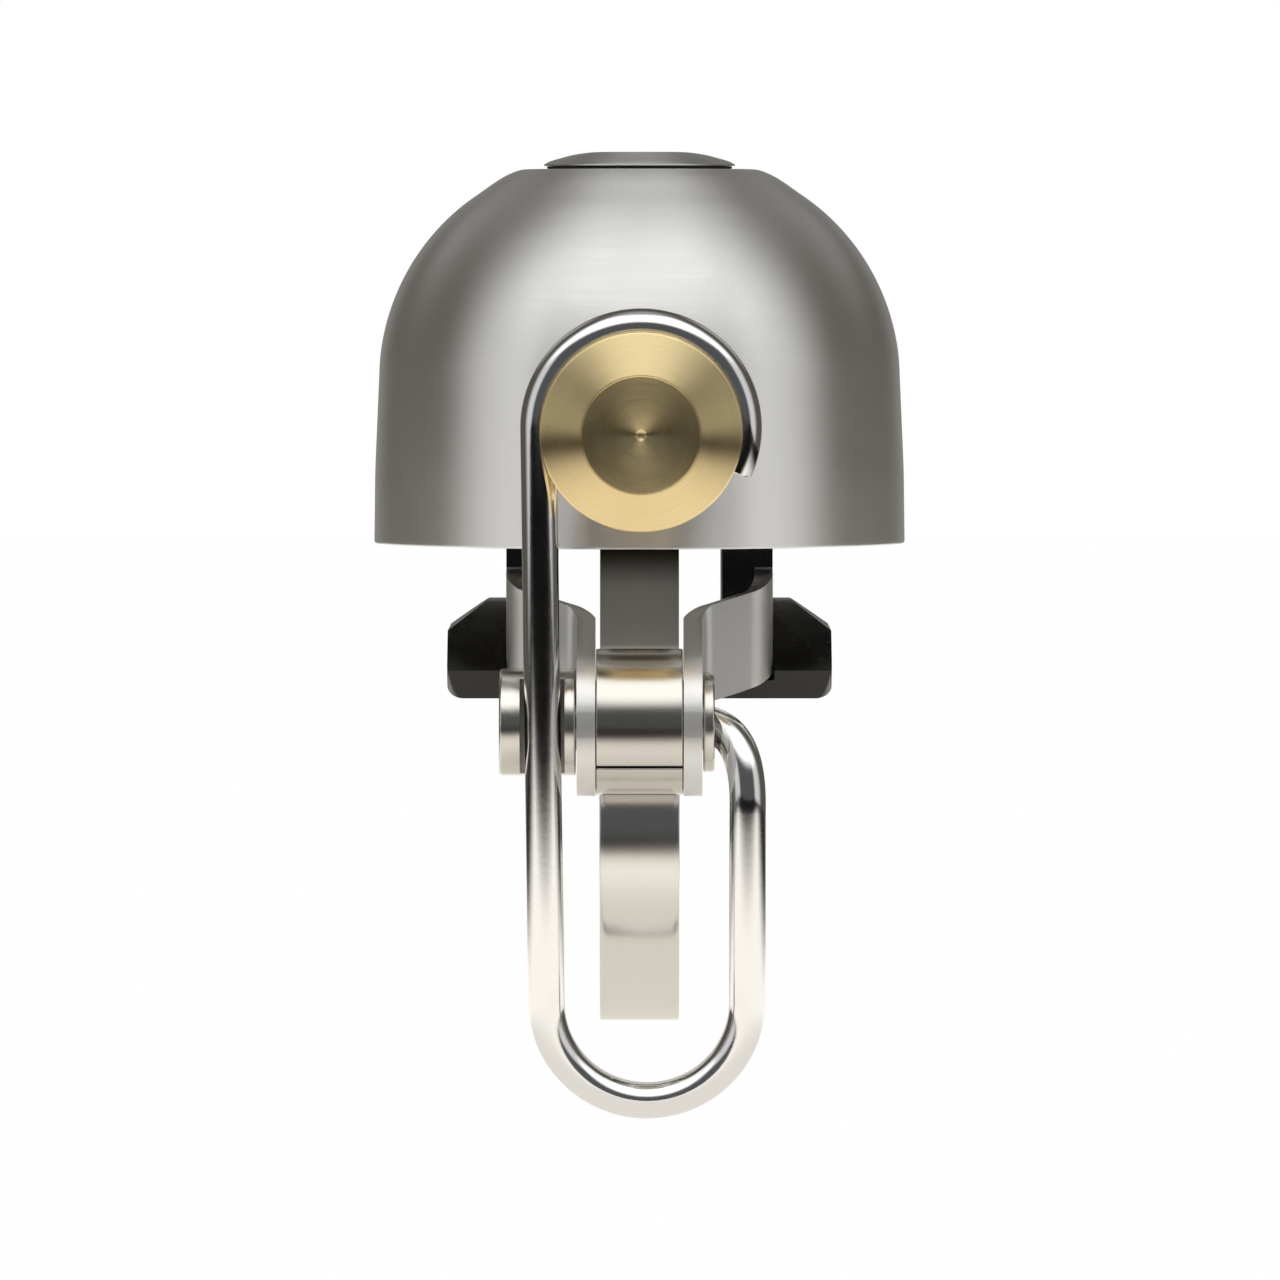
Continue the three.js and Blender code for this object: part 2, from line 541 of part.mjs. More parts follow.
function buildStriker(parent) {
  const group = new THREE.Group();
  group.position.set(0, pivot.y, pivot.z);
  group.rotation.x = rad(lean);
  parent.add(group);
  piece("striker_axle", makeAxle(), materials.polishedSteel, group);
  piece("axle_collar", makeCollar(), materials.polishedSteel, group);
  piece("return_spring", makeReturnSpring(), materials.springSteel, group);
  piece("striker_wire", makeStrikerWire(), materials.springSteel, group);

  const head = new THREE.Group();
  head.position.set(hook.x, -wireDepth, hook.rise);
  group.add(head);
  piece("hammer", makeHammer(), materials.brass, head);
}

const bell = new THREE.Group();
buildCrown(bell);
buildBracket(bell);
buildClamp(bell);
buildPivot(bell);
buildStriker(bell);

export default bell;
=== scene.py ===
"""The bell's looks: smooth, detailed pieces with procedural materials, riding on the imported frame."""

import math

import bmesh
import bpy
from mathutils import Matrix, Vector


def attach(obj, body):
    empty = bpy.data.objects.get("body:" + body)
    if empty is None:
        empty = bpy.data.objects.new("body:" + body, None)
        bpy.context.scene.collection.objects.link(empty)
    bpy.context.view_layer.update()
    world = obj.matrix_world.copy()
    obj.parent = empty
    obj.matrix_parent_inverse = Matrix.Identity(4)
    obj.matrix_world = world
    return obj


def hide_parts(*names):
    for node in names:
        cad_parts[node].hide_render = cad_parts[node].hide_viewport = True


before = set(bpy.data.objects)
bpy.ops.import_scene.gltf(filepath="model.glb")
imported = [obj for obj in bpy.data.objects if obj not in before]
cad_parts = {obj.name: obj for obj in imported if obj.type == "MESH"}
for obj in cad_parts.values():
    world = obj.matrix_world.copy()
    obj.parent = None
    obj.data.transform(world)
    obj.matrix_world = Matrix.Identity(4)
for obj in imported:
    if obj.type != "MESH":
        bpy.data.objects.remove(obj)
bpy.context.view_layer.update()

MM = 0.001
ORIGIN = Matrix.Identity(4)

# ---- The frame's main sizes, in millimetres ----

BAR_RADIUS = 12.7
PIVOT = Vector((0, -16.9, 7.17))  # the striker's axle, along X
LEAN = math.radians(8)
TRUNNION = Vector((0, 17.6, 4.6))
SHEET = 1.2
STRAP = 0.5

# ---- Outlines ----


def arc(centre, radius, start, end, steps):
    """Points along an arc from one angle to another, in degrees."""
    angles = [math.radians(start + (end - start) * i / steps) for i in range(steps + 1)]
    return [(centre[0] + radius * math.cos(a), centre[1] + radius * math.sin(a)) for a in angles]


def through(points, per_span):
    """A smooth curve through the points."""
    curve = []
    for i in range(len(points) - 1):
        p = [Vector(points[min(max(j, 0), len(points) - 1)]) for j in range(i - 1, i + 3)]
        for k in range(per_span):
            t = k / per_span
            curve.append(
                0.5
                * (
                    2 * p[1]
                    + (p[2] - p[0]) * t
                    + (2 * p[0] - 5 * p[1] + 4 * p[2] - p[3]) * t**2
                    + (3 * p[1] - p[0] - 3 * p[2] + p[3]) * t**3
                )
            )
    return [tuple(q) for q in curve] + [tuple(points[-1])]


def rounded(corners, closed=False):
    """An outline of (a, b) or (a, b, radius) corners. A corner that has a radius becomes an arc."""
    out = []
    n = len(corners)
    for i, corner in enumerate(corners):
        here = Vector(corner[:2])
        radius = corner[2] if len(corner) > 2 else 0
        if not radius or (not closed and i in (0, n - 1)):
            out.append(tuple(here))
            continue
        before = Vector(corners[i - 1][:2]) - here
        after = Vector(corners[(i + 1) % n][:2]) - here
        half = before.angle(after) / 2
        reach = min(radius / math.tan(half), 0.48 * before.length, 0.48 * after.length)
        radius = reach * math.tan(half)
        middle = here + (before.normalized() + after.normalized()).normalized() * (radius / math.sin(half))
        first = here + before.normalized() * reach - middle
        turn = math.pi - 2 * half
        sign = 1 if before.x * after.y - before.y * after.x < 0 else -1
        steps = max(3, math.ceil(turn / math.radians(14)))
        for k in range(steps + 1):
            a = sign * turn * k / steps
            out.append(
                (
                    middle.x + first.x * math.cos(a) - first.y * math.sin(a),
                    middle.y + first.x * math.sin(a) + first.y * math.cos(a),
                )
            )
    return out


# ---- Meshes. Each is made in millimetres, in its own frame, and placed by a matrix. ----


def make(name, points, faces, matrix=ORIGIN):
    mesh = bpy.data.meshes.new(name)
    mesh.from_pydata([tuple(c * MM for c in p) for p in points], [], faces)
    obj = bpy.data.objects.new(name, mesh)
    bpy.context.scene.collection.objects.link(obj)
    obj.matrix_world = matrix
    form = bmesh.new()
    form.from_mesh(mesh)
    bmesh.ops.remove_doubles(form, verts=form.verts, dist=2e-7)
    bmesh.ops.recalc_face_normals(form, faces=form.faces)
    form.to_mesh(mesh)
    form.free()
    return obj


def lathe(name, profile, matrix=ORIGIN, segments=96, closed=False):
    """Turns (radius, height) points about Z. An open profile starts and ends on the axis."""
    points, faces = [], []
    rows = []
    for radius, height in profile:
        if radius < 1e-6:
            rows.append([len(points)] * segments)
            points.append((0, 0, height))
            continue
        rows.append([len(points) + k for k in range(segments)])
        for k in range(segments):
            a = 2 * math.pi * k / segments
            points.append((radius * math.cos(a), radius * math.sin(a), height))
    pairs = list(zip(rows, rows[1:])) + ([(rows[-1], rows[0])] if closed else [])
    for low, high in pairs:
        for k in range(segments):
            n = (k + 1) % segments
            ring = [low[k], low[n], high[n], high[k]]
            face = [v for j, v in enumerate(ring) if v != ring[j - 1]]
            if len(face) > 2:
                faces.append(face)
    return make(name, points, faces, matrix)


def prism(name, outline, start, end, axes="xyz", matrix=ORIGIN):
    """An outline in the plane of the first two axes, drawn out along the third."""
    order = ["xyz".index(c) for c in axes]
    points = []
    for along in (start, end):
        for a, b in outline:
            p = [0, 0, 0]
            p[order[0]], p[order[1]], p[order[2]] = a, b, along
            points.append(p)
    n = len(outline)
    faces = [list(range(n)), list(range(n, 2 * n))]
    faces += [[k, (k + 1) % n, n + (k + 1) % n, n + k] for k in range(n)]
    return make(name, points, faces, matrix)


def block(name, low, high, matrix=ORIGIN):
    (x0, y0, z0), (x1, y1, z1) = low, high
    return prism(name, [(x0, y0), (x1, y0), (x1, y1), (x0, y1)], z0, z1, matrix=matrix)


def rod(name, radius, start, end, axis="z", at=(0, 0, 0), segments=64):
    """A cylinder along Z or X."""
    turn = Matrix.Rotation(math.pi / 2, 4, "Y") if axis == "x" else ORIGIN
    profile = [(0, start), (radius, start), (radius, end), (0, end)]
    return lathe(name, profile, Matrix.Translation(Vector(at) * MM) @ turn, segments)


def sweep(name, path, radius, sides, chamfer, matrix=ORIGIN):
    """A round wire along a path, with a small chamfer at each end."""
    path = [Vector(p) for p in path]
    tangents = []
    for i in range(len(path)):
        tangents.append((path[min(i + 1, len(path) - 1)] - path[max(i - 1, 0)]).normalized())
    side = tangents[0].orthogonal().normalized()
    rings = []
    for i, (p, t) in enumerate(zip(path, tangents)):
        side = (side - t * side.dot(t)).normalized()
        other = t.cross(side)
        if i == 0:
            rings.append((p - t * chamfer, side, other, radius - chamfer))
        rings.append((p, side, other, radius))
        if i == len(path) - 1:
            rings.append((p + t * chamfer, side, other, radius - chamfer))
    points = [
        tuple(p + (s * math.cos(2 * math.pi * k / sides) + o * math.sin(2 * math.pi * k / sides)) * r)
        for p, s, o, r in rings
        for k in range(sides)
    ]
    faces = []
    for i in range(len(rings) - 1):
        for k in range(sides):
            n = (k + 1) % sides
            faces.append([i * sides + k, i * sides + n, (i + 1) * sides + n, (i + 1) * sides + k])
    faces.append(list(range(sides)))
    faces.append([(len(rings) - 1) * sides + k for k in range(sides)])
    return make(name, points, faces, matrix)


def sheet_of(name, grids, matrix=ORIGIN):
    """A thin sheet from grids of points. Grids that share edge points join there. None leaves a hole."""
    points, faces = [], []
    for grid in grids:
        start = len(points)
        columns = len(grid[0])
        points += [p if p is not None else (0, 0, 0) for row in grid for p in row]
        for i in range(len(grid) - 1):
            for j in range(columns - 1):
                ring = [(i, j), (i, j + 1), (i + 1, j + 1), (i + 1, j)]
                if all(grid[a][b] is not None for a, b in ring):
                    faces.append([start + a * columns + b for a, b in ring])
    obj = make(name, points, faces, matrix)
    form = bmesh.new()
    form.from_mesh(obj.data)
    bmesh.ops.delete(form, geom=[v for v in form.verts if not v.link_faces], context="VERTS")
    form.to_mesh(obj.data)
    form.free()
    return obj


def settle(obj):
    """Applies the object's modifiers."""
    view = bpy.context.evaluated_depsgraph_get()
    mesh = bpy.data.meshes.new_from_object(obj.evaluated_get(view))
    obj.modifiers.clear()
    old = obj.data
    obj.data = mesh
    bpy.data.meshes.remove(old)
    mesh.name = obj.name
    return obj


def combine(obj, others, operation):
    """Joins, cuts or keeps the overlap with the other objects, and removes them."""
    for other in others:
        change = obj.modifiers.new("change", "BOOLEAN")
        change.operation = operation
        change.solver = "EXACT"
        change.object = other
    settle(obj)
    for other in others:
        mesh = other.data
        bpy.data.objects.remove(other)
        bpy.data.meshes.remove(mesh)
    return obj


def thicken(obj, thickness):
    """Gives a middle surface its thickness, half to each side."""
    wall = obj.modifiers.new("wall", "SOLIDIFY")
    wall.thickness = thickness * MM
    wall.offset = 0
    wall.use_even_offset = True
    wall.use_quality_normals = True
    return settle(obj)


def soften(obj, width, segments=3, angle=40):
    """Rounds the sharp edges."""
    edge = obj.modifiers.new("edge", "BEVEL")
    edge.width = width * MM
    edge.segments = segments
    edge.limit_method = "ANGLE"
    edge.angle_limit = math.radians(angle)
    edge.use_clamp_overlap = True
    edge.harden_normals = False
    return settle(obj)


def shade(obj, sharp=32, weighted=True):
    obj.data.shade_smooth()
    obj.data.set_sharp_from_angle(angle=math.radians(sharp))
    if weighted:
        normal = obj.modifiers.new("normals", "WEIGHTED_NORMAL")
        normal.keep_sharp = True
        normal.weight = 50
    return obj


def place(obj, material, slot, body, *nodes):
    """Finishes a piece: its material, and the body and nodes it stands for. The slot argument is not used."""
    obj.data.materials.clear()
    obj.data.materials.append(material)
    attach(obj, body)
    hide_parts(*nodes)
    return obj


# ---- Shader graphs ----


class Graph:
    """A node tree with short calls for the nodes used here."""

    def __init__(self, tree, clear=True):
        self.tree = tree
        if clear:
            tree.nodes.clear()

    def node(self, kind, inputs=(), **settings):
        made = self.tree.nodes.new(kind)
        for key, value in settings.items():
            setattr(made, key, value)
        for key, value in dict(inputs).items():
            self.set(made.inputs[key], value)
        return made

    def set(self, socket, value):
        if isinstance(value, bpy.types.NodeSocket):
            self.tree.links.new(value, socket)
        else:
            socket.default_value = value

    def math(self, operation, a, b=0.0, clamp=False):
        return self.node("ShaderNodeMath", {0: a, 1: b}, operation=operation, use_clamp=clamp).outputs[0]

    def ramp(self, value, low, high, to_low=0.0, to_high=1.0):
        """A smooth step of a value from one level to another."""
        inputs = {"Value": value, "From Min": low, "From Max": high, "To Min": to_low, "To Max": to_high}
        return self.node("ShaderNodeMapRange", inputs, interpolation_type="SMOOTHSTEP").outputs[0]

    def mix(self, share, a, b):
        made = self.node("ShaderNodeMix", data_type="RGBA")
        self.set(made.inputs[0], share)
        self.set(made.inputs[6], a)
        self.set(made.inputs[7], b)
        return made.outputs[2]

    def noise(self, vector, scale, detail=3.0, roughness=0.6):
        inputs = {"Vector": vector, "Scale": scale, "Detail": detail, "Roughness": roughness}
        return self.node("ShaderNodeTexNoise", inputs).outputs["Fac"]

    def vector(self, x, y, z):
        return self.node("ShaderNodeCombineXYZ", {0: x, 1: y, 2: z}).outputs[0]

    def split(self, vector):
        return self.node("ShaderNodeSeparateXYZ", {0: vector}).outputs


def colour(r, g, b):
    return (r, g, b, 1)


def surface(name):
    """A new material: its graph, its shader and its object coordinates in millimetres."""
    material = bpy.data.materials.new(name)
    material.use_nodes = True
    graph = Graph(material.node_tree)
    shader = graph.node("ShaderNodeBsdfPrincipled")
    output = graph.node("ShaderNodeOutputMaterial")
    graph.tree.links.new(shader.outputs[0], output.inputs[0])
    where = graph.node("ShaderNodeTexCoord").outputs["Object"]
    scaled = graph.node("ShaderNodeVectorMath", {0: where, 1: (1000, 1000, 1000)}, operation="MULTIPLY")
    return material, graph, shader, scaled.outputs[0]


def round_axis(graph, where, axis, across, along):
    """Coordinates that run round an axis: slow round it, and fast across the lines of the grain."""
    x, y, z = graph.split(where)
    if axis == "X":
        x, y, z = y, z, x
    squares = graph.math("ADD", graph.math("MULTIPLY", x, x), graph.math("MULTIPLY", y, y))
    radius = graph.math("SQRT", squares)
    safe = graph.math("MAXIMUM", radius, 0.05)
    level = graph.math("SUBTRACT", z, radius)
    return graph.vector(
        graph.math("MULTIPLY", graph.math("DIVIDE", x, safe), along),
        graph.math("MULTIPLY", graph.math("DIVIDE", y, safe), along),
        graph.math("MULTIPLY", level, across),
    )


def metal(
    name,
    base,
    roughness,
    grain="none",
    axis="Z",
    anisotropy=0.0,
    bump=0.02,
    across=14.0,
    spread=0.06,
    stain=(0.0, 1.0, 1.0, 1.0),
):
    """A bare metal. Its grain runs round an axis, along an axis, or every way.

    across is how fine the grain is and spread how much the roughness varies. stain is a share
    and the tint that it leaves.
    """
    material, graph, shader, where = surface(name)
    if grain == "round":
        lines = round_axis(graph, where, axis, across, 1.6)
    elif grain == "along":
        stretch = tuple(0.25 if letter == axis else across for letter in "XYZ")
        lines = graph.node("ShaderNodeVectorMath", {0: where, 1: stretch}, operation="MULTIPLY").outputs[0]
    else:
        lines = where
    fine = graph.noise(lines, 1.0 if grain != "none" else 3.0, 4.0, 0.65)
    broad = graph.noise(where, 0.16, 3.0, 0.55)
    level = graph.math("ADD", graph.math("MULTIPLY", fine, spread), roughness - spread * 0.5)
    level = graph.math("ADD", level, graph.math("MULTIPLY", graph.math("SUBTRACT", broad, 0.5), spread))
    graph.set(shader.inputs["Roughness"], level)
    amount, *tint = stain
    pale = colour(*base)
    dull = colour(*(b * (1 - amount * (1 - t)) * (1 - amount * 0.35) for b, t in zip(base, tint)))
    halves = graph.math("MULTIPLY", fine, 0.5), graph.math("MULTIPLY", broad, 0.5)
    share = graph.ramp(graph.math("ADD", *halves), 0.35, 0.65)
    graph.set(shader.inputs["Base Color"], graph.mix(share, dull, pale))
    shader.inputs["Metallic"].default_value = 1.0
    shader.inputs["Anisotropic"].default_value = anisotropy
    if anisotropy:
        shader.inputs["Anisotropic Rotation"].default_value = 0.25
        tangent = graph.node("ShaderNodeTangent", direction_type="RADIAL", axis=axis)
        graph.set(shader.inputs["Tangent"], tangent.outputs[0])
    scratch = graph.node("ShaderNodeBump", {"Height": fine, "Strength": bump, "Distance": 0.0001})
    graph.set(shader.inputs["Normal"], scratch.outputs[0])
    return material


def plastic(name, base, roughness, bump=0.12):
    """A moulded plastic or rubber with a fine grain, a little dust, and paler, rougher patches at random."""
    material, graph, shader, where = surface(name)
    grain = graph.noise(where, 9.0, 4.0, 0.6)
    patches = graph.noise(where, 0.5, 3.0, 0.55)
    share = graph.ramp(patches, 0.4, 0.75)
    worn = colour(*(min(1, b * 1.6 + 0.001) for b in base))
    graph.set(shader.inputs["Base Color"], graph.mix(share, colour(*base), worn))
    level = graph.math("ADD", graph.math("MULTIPLY", grain, 0.12), roughness - 0.06)
    level = graph.math("ADD", level, graph.math("MULTIPLY", share, 0.08))
    graph.set(shader.inputs["Roughness"], level)
    pebble = graph.node("ShaderNodeBump", {"Height": grain, "Strength": bump, "Distance": 0.00012})
    graph.set(shader.inputs["Normal"], pebble.outputs[0])
    return material


def paint_tab_shade(material):
    """Paints shade on the front of the bracket's rear tab, most of all near the top, where the dome covers
    it.
    """
    graph = Graph(material.node_tree, clear=False)
    shader = next(node for node in graph.tree.nodes if node.type == "BSDF_PRINCIPLED")
    where = next(node for node in graph.tree.nodes if node.type == "VECT_MATH").outputs[0]
    _, y, z = graph.split(where)
    front = graph.math("MULTIPLY", graph.ramp(y, 9.5, 11.0), graph.ramp(y, 13.65, 14.3, 1.0, 0.0))
    # painted shade: the tab's front face is mixed towards a near-black, most of all near the top under the
    # dome
    painted_shade_mask = graph.math("MULTIPLY", graph.ramp(z, 14.6, 17.6, 0.4, 1.0), front)
    bare = shader.inputs["Base Color"].links[0].from_socket
    graph.set(shader.inputs["Base Color"], graph.mix(painted_shade_mask, bare, colour(0.035, 0.027, 0.017)))
    return material


DOME_STEEL = metal(
    "dome_steel", (0.86, 0.86, 0.855), 0.40, "round", anisotropy=0.9, bump=0.06, across=5.0, spread=0.10
)
CAP_STEEL = metal(
    "cap_steel", (0.72, 0.72, 0.71), 0.40, "round", anisotropy=0.8, bump=0.04, across=6.0, spread=0.10
)
# the bracket's steel carries painted shade on the front of its rear tab
BRACKET_STEEL = paint_tab_shade(metal("bracket_steel", (0.73, 0.725, 0.715), 0.44, bump=0.01))
STRAP_STEEL = metal("strap_steel", (0.75, 0.735, 0.70), 0.19, "along", "Y", across=8.0)
# painted shade: the barrel is the strap's steel with a darker base, which holds its bright highlight band
# down
SHADED_BARREL_STEEL = metal("barrel_steel", (0.58, 0.56, 0.52), 0.20, "along", "X", across=8.0, spread=0.05)
TURNED_STEEL = metal("turned_steel", (0.62, 0.605, 0.565), 0.24, "round", bump=0.04, across=10.0, spread=0.08)
WIRE_STEEL = metal("wire_steel", (0.84, 0.84, 0.84), 0.12)
HAMMER_BRASS = metal(
    "hammer_brass", (0.96, 0.78, 0.43), 0.32, "round",
    anisotropy=0.82, bump=0.05, across=7.0, spread=0.10, stain=(0.25, 0.95, 0.85, 0.7),
)
FITTING_BRASS = metal(
    "fitting_brass", (0.80, 0.64, 0.36), 0.26, "round",
    bump=0.05, across=8.0, spread=0.10, stain=(0.3, 0.9, 0.8, 0.6),
)
BRONZE = metal(
    "bush_bronze", (0.55, 0.37, 0.20), 0.42, bump=0.12, spread=0.12, stain=(0.4, 0.9, 0.8, 0.7)
)
NYLON = plastic("black_nylon", (0.0012, 0.0012, 0.0012), 0.22, 0.08)
RUBBER = plastic("black_rubber", (0.01, 0.01, 0.01), 0.7, 0.2)

# ---- Dome, cap and what holds them ----

CROWN = 42.97
WALL = 1.5
RIM = 18.33
DOME_RADIUS = 17.5
DOME_HOLE = 2.3


def dome_profile():
    """The outer wall from the rim to the crown, then the inner wall back down."""
    wall = [(DOME_RADIUS, RIM + 0.3), (17.47, 21.0), (17.435, 23.3), (17.30, 26.5), (17.19, 29.05)]
    shoulder = arc((2.416, 29.05), 14.774, 6, 57, 9)
    crown = [(9.25, 42.28), (8.45, 42.70), (7.75, 42.93), (7.0, CROWN)]
    outer = through(wall + shoulder + crown, 4)
    inner = []
    for before, here, after in zip([outer[0]] + outer, outer, outer[1:] + [outer[-1]]):
        along = Vector(after) - Vector(before)
        normal = Vector((-along.y, along.x)).normalized()
        p = Vector(here) + normal * WALL
        inner.append((p.x, min(p.y, CROWN - WALL)))
    inner = [(max(r, DOME_HOLE), z) for r, z in inner]
    rim = rounded([inner[0], (DOME_RADIUS - WALL, RIM, 0.3), (DOME_RADIUS, RIM, 0.32), outer[0]])
    hole = rounded([outer[-1], (DOME_HOLE, CROWN, 0.15), (DOME_HOLE, CROWN - WALL, 0.15), inner[-1]])
    return rim[1:-1] + outer + hole[1:-1] + inner[::-1]


dome = shade(lathe("bell_dome", dome_profile(), segments=192, closed=True))
place(dome, DOME_STEEL, "dome_steel", "frame", "dome")

CAP = 43.18
crest = [(0, 44.09), (1.6, 44.09), (3.1, 44.08), (4.33, 43.91), (5.09, 43.72), (5.85, 43.5), (6.2, 43.33)]
cap_top = through(crest, 5)
cap_side = rounded([cap_top[-1], (6.3, 43.27, 0.05), (6.3, CAP, 0.04), (2, CAP), (2, 34.3, 0.3), (0, 34.3)])
cap = shade(lathe("bell_cap", cap_top + cap_side[1:], segments=128))
place(cap, CAP_STEEL, "polished_steel", "frame", "crown_cap")

ring = rounded([(2.1, 42.995), (6.1, 42.995, 0.05), (6.1, 43.155, 0.05), (2.1, 43.155)], closed=True)
seat = shade(lathe("cap_washer", ring, segments=96, closed=True))
place(seat, RUBBER, "black_rubber", "frame", "crown_washer")

ring = rounded([(2.1, 40.87, 0.1), (4.4, 40.87, 0.12), (4.4, 41.42, 0.12), (2.1, 41.42, 0.1)], closed=True)
inner_washer = shade(lathe("dome_inner_washer", ring, segments=72, closed=True))
place(inner_washer, NYLON, "black_nylon", "frame", "dome_washer")

post_corners = [(1.6, 23.25, 0.1), (3.5, 23.25, 0.25), (3.5, 40.82, 0.3), (2.1, 40.82, 0.15)]
post_corners += [(2.1, 31.25), (1.6, 30.25)]
post = shade(lathe("dome_post", rounded(post_corners, closed=True), segments=72, closed=True))
place(post, FITTING_BRASS, "fitting_brass", "frame", "dome_post")

screw_head = [(0, 19.6), (2.1, 19.6, 0.2), (2.75, 20.2, 0.15), (2.75, 21.4, 0.08)]
screw_shank = [(1.5, 21.4), (1.5, 29.75, 0.3), (0, 29.75)]
post_screw = lathe("post_screw", rounded(screw_head + screw_shank), segments=64)
combine(post_screw, [block("slot", (-0.35, -3, 19), (0.35, 3, 20.3))], "DIFFERENCE")
place(shade(post_screw), TURNED_STEEL, "polished_steel", "frame", "post_screw")

ring = rounded([(1.6, 21.45, 0.05), (2.9, 21.45, 0.08), (2.9, 21.95, 0.08), (1.6, 21.95, 0.05)], closed=True)
spring_washer = lathe("spring_washer", ring, segments=64, closed=True)
combine(spring_washer, [block("split", (0, -0.2, 21), (3.5, 0.2, 23))], "DIFFERENCE")
place(shade(spring_washer), WIRE_STEEL, "spring_steel", "frame", "lock_washer")

# ---- Bracket: one folded sheet, made as its middle surface and then thickened ----

WALL_X = 8.1
EAR_X = 3.45
EAR_RADIUS = 4.79
PLATE_Z = 22.6
FOLD = 1.2  # the middle surface's bend radius along the plate's edges
FRONT_Y = -8.2
REAR_Y = 8.0
TAB_Y = 13.6
JOINT_Z = 16.8  # where the arms' top edges meet the walls
# The arms' upper and lower edges in (y, z), from the walls to the ears.
ARM_TOP = [(-8.2, 16.8), (-9.5, 16.5), (-10.5, 15.85), (-12.5, 14.2), (-13.6, 13.7)]
ARM_UNDER = [(-8.3, 11.6), (-9.2, 10.5), (-10.5, 9.65), (-11.85, 8.45), (-13.5, 7.4)]


def plan_path():
    """The arm in plan, from the wall's front edge to the front of the ear, as (x, y) points by distance."""
    bend, angle, start = 1.7, 70, -9.5
    c, s = math.cos(math.radians(angle)), math.sin(math.radians(angle))
    diagonal = (WALL_X - EAR_X - 2 * bend * (1 - c)) / s
    end = start - 2 * bend * s - diagonal * c
    first = arc((WALL_X - bend, start), bend, 0, -angle, 14)
    second = arc((EAR_X + bend, end), bend, 180 - angle, 180, 14)
    return [(WALL_X, FRONT_Y), *first, *second, (EAR_X, -30)]


def plan_x(path, y):
    for (x0, y0), (x1, y1) in zip(path, path[1:]):
        if y0 >= y >= y1:
            return x0 + (x1 - x0) * (y0 - y) / max(y0 - y1, 1e-9)
    return EAR_X


def arm_edges():
    """(y, bottom, top) along the arm, from the wall's front edge to the tip of the ear."""
    ys = {FRONT_Y}
    top_line = [*through(ARM_TOP, 4), *arc((PIVOT.y, PIVOT.z), EAR_RADIUS, 114, 180, 18)]
    under = [(FRONT_Y, math.sqrt(225 - FRONT_Y**2)), *through(ARM_UNDER, 3), (-13.57, 3.72)]
    bottom_line = [*under, *arc((PIVOT.y, PIVOT.z), EAR_RADIUS, -45, -180, 30)]

    def height(line, y):
        for (y0, z0), (y1, z1) in zip(line, line[1:]):
            if y0 >= y >= y1:
                return z0 + (z1 - z0) * (y0 - y) / max(y0 - y1, 1e-9)
        return PIVOT.z

    ys.update(y for y, _ in top_line + bottom_line)
    ys.update(y for _, y in plan_path() if y > -21)
    ys = sorted(ys, reverse=True)
    kept = [ys[0]]
    for y in ys[1:]:
        if kept[-1] - y > 0.02:
            kept.append(y)
    kept[0] = FRONT_Y  # the curve's own first value can differ from it in the last digits
    kept[-1] = PIVOT.y - EAR_RADIUS + 0.001
    return [(y, height(bottom_line, y), height(top_line, y)) for y in kept]


def bracket_grids():
    path = plan_path()
    lower, upper, turn = 5, 3, 8
    plate_xs = [-6.9, -5.5, -4, -2.6, -1.3, 0, 1.3, 2.6, 4, 5.5, 6.9]
    rows = []
    for k in range(33):
        y = FRONT_Y + (REAR_Y - FRONT_Y) * k / 32
        low = math.sqrt(225 - y * y)
        right = [(WALL_X, low + (JOINT_Z - low) * i / lower) for i in range(lower)]
        right += [(WALL_X, JOINT_Z + (PLATE_Z - FOLD - JOINT_Z) * i / upper) for i in range(upper)]
        right += arc((WALL_X - FOLD, PLATE_Z - FOLD), FOLD, 0, 90, turn)[:-1]
        line = right + [(x, PLATE_Z) for x in reversed(plate_xs)] + [(-x, z) for x, z in reversed(right)]
        rows.append([(x, y, z) for x, z in line])
    grids = [rows]
    for side in (1, -1):
        arm = []
        for y, low, high in arm_edges():
            x = side * plan_x(path, y)
            arm.append([(x, y, low + (high - low) * i / lower) for i in range(lower + 1)])
        grids.append(arm)
    tab = [(8.0, PLATE_Z), (10.2, PLATE_Z)]
    tab += arc((TAB_Y - FOLD, PLATE_Z - FOLD), FOLD, 90, 0, 8)
    tab += [(TAB_Y, z) for z in (20, 18.5, 17, 15.5, 14, 12.5)]
    tab += arc((TAB_Y + FOLD, 10 + FOLD), FOLD, 180, 270, 8)
    tab += [(17, 10), (18.6, 10), (20.4, 10)]
    grids.append([[(x, y, z) for x in (-2.65, -1.3, 0, 1.3, 2.65)] for y, z in tab])
    return grids


bracket = thicken(sheet_of("bracket_sheet", bracket_grids()), SHEET)
holes = [
    rod("ear_hole", 2.75, -12, 12, "x", PIVOT),
    rod("rivet_hole", 0.9, -12, 12, "x", (0, 0, 20)),
    rod("screw_hole", 1.75, 20, 25),
    rod("foot_hole", 1.5, 8, 12, "z", (0, TRUNNION.y, 0)),
]
combine(bracket, holes, "DIFFERENCE")
soften(bracket, 0.14, 3, 50)
place(shade(bracket, 45), BRACKET_STEEL, "bracket_steel", "frame", "bracket")

# ---- Saddle pads and their rivets ----


PAD_INNER = 5.4
PAD_OUTER = 12.55
PAD_TOP = 14.7  # the wing's outer radius
CHEEK_END = 8.7


